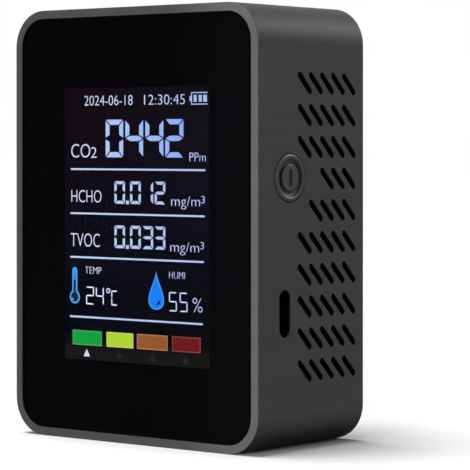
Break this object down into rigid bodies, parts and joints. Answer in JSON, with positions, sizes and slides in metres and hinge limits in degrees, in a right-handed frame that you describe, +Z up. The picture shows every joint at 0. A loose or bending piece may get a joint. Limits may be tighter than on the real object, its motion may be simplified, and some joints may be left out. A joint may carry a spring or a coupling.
{
  "type": "air quality monitor",
  "caption": "Upright box-shaped desktop air quality monitor with a flush dark lens over a segment display, slanted side vents, a round side button and a USB charging socket.",
  "frame": {"origin": "middle of the flat face that the case stands on", "axes": "+X to the right as the display is read, towards the button and the socket; +Y to the rear cover; +Z up"},
  "size_m": [0.0643, 0.034, 0.087],
  "materials": {
    "case_abs": "injection moulded ABS, fine satin texture",
    "cover_screw_steel": "blackened steel",
    "lens_acrylic": "smoked acrylic, polished",
    "mask_ink": "screen printed black",
    "lens_tape_acrylic": "double-sided acrylic tape",
    "lcd_film": "dark polariser",
    "lcd_glass": "thin display glass",
    "flex_polyimide": "amber polyimide",
    "flex_connector_nylon": "moulded nylon",
    "backlight_white": "white polycarbonate",
    "light_guide_acrylic": "clear acrylic",
    "foam_black": "closed-cell foam",
    "board_laminate": "solder mask over glass epoxy",
    "board_screw_steel": "zinc plated",
    "chip_epoxy": "moulded epoxy",
    "capacitor_ceramic": "fired ceramic",
    "resistor_ceramic": "glazed ceramic",
    "inductor_ferrite": "sintered ferrite",
    "crystal_can": "nickel plated can",
    "buzzer_plastic": "moulded",
    "usb_steel": "drawn stainless steel",
    "usb_insulator": "moulded insulator",
    "switch_nylon": "moulded nylon",
    "switch_steel": "folded steel",
    "header_nylon": "moulded nylon",
    "module_laminate": "solder mask over glass epoxy",
    "chamber_anodised": "black anodised",
    "membrane_ptfe": "expanded membrane",
    "hcho_plastic": "moulded",
    "voc_base_plastic": "moulded",
    "voc_cap_steel": "deep drawn cap",
    "battery_laminate": "laminated foil pouch",
    "lead_red": "silicone insulation",
    "lead_black": "silicone insulation",
    "plug_nylon": "moulded nylon"
  },
  "bodies": {
    "case": {"main_housing": "case_abs", "rear_cover": "case_abs", "rear_cover_screws": "cover_screw_steel", "display_lens": "lens_acrylic", "lens_mask": "mask_ink", "lens_tape": "lens_tape_acrylic", "lcd_front_film": "lcd_film", "lcd_front_glass": "lcd_glass", "lcd_rear_glass": "lcd_glass", "lcd_flex": "flex_polyimide", "flex_connector": "flex_connector_nylon", "backlight_frame": "backlight_white", "light_guide": "light_guide_acrylic", "lcd_foam_strips": "foam_black", "battery_pad": "foam_black", "main_board": "board_laminate", "board_screws": "board_screw_steel", "controller_chip": "chip_epoxy", "charger_chip": "chip_epoxy", "climate_sensor": "chip_epoxy", "chip_capacitors": "capacitor_ceramic", "chip_resistors": "resistor_ceramic", "power_inductor": "inductor_ferrite", "crystal": "crystal_can", "buzzer": "buzzer_plastic", "usb_shell": "usb_steel", "usb_tongue": "usb_insulator", "switch_base": "switch_nylon", "switch_frame": "switch_steel", "co2_header_strips": "header_nylon", "hcho_socket": "header_nylon", "co2_module_board": "module_laminate", "battery_protection_board": "module_laminate", "co2_chamber": "chamber_anodised", "co2_membranes": "membrane_ptfe", "hcho_cell": "hcho_plastic", "voc_sensor_base": "voc_base_plastic", "voc_sensor_cap": "voc_cap_steel", "battery_pouch": "battery_laminate", "battery_lead_positive": "lead_red", "battery_lead_negative": "lead_black", "battery_plug": "plug_nylon", "battery_socket": "plug_nylon"},
    "button": {"power_button": "case_abs"},
    "plunger": {"switch_plunger": "switch_nylon"}
  },
  "joints": [
    {"name": "button_press", "type": "slide", "parent": "case", "child": "button", "axis": [-1, 0, 0], "range_m": [0, 0.0003], "stiffness_N_per_m": 1000},
    {"name": "plunger_press", "type": "slide", "parent": "case", "child": "plunger", "axis": [-1, 0, 0], "range_m": [0, 0.0003]}
  ],
  "couplings": [
    {"joint": "plunger_press", "follows": "button_press", "ratio": 1}
  ]
}
